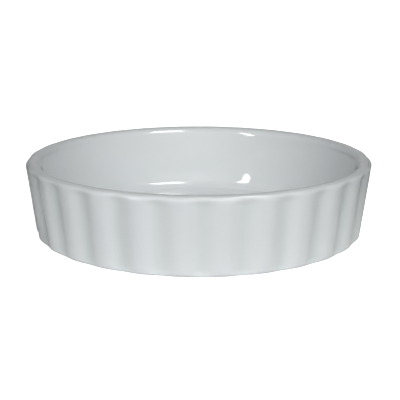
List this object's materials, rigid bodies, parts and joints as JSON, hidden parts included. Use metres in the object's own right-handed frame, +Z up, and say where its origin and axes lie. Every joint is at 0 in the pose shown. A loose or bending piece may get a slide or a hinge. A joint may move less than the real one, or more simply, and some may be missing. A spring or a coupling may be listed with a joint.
{
  "type": "creme brulee dish",
  "caption": "Small round porcelain baking dish with a smooth hollow, a rounded lip, a fluted outside wall and a low foot ring.",
  "frame": {"origin": "middle of the footprint, on the surface that the dish stands on", "axes": "+Z up along the dish's own axis; +X and +Y each point at the crest of a flute's lobe"},
  "size_m": [0.12, 0.12, 0.026],
  "materials": {
    "white_glaze": "glossy clear glaze over white porcelain, bare and matt on the ring it stands on"
  },
  "bodies": {
    "root": {"dish": "white_glaze"}
  },
  "joints": []
}
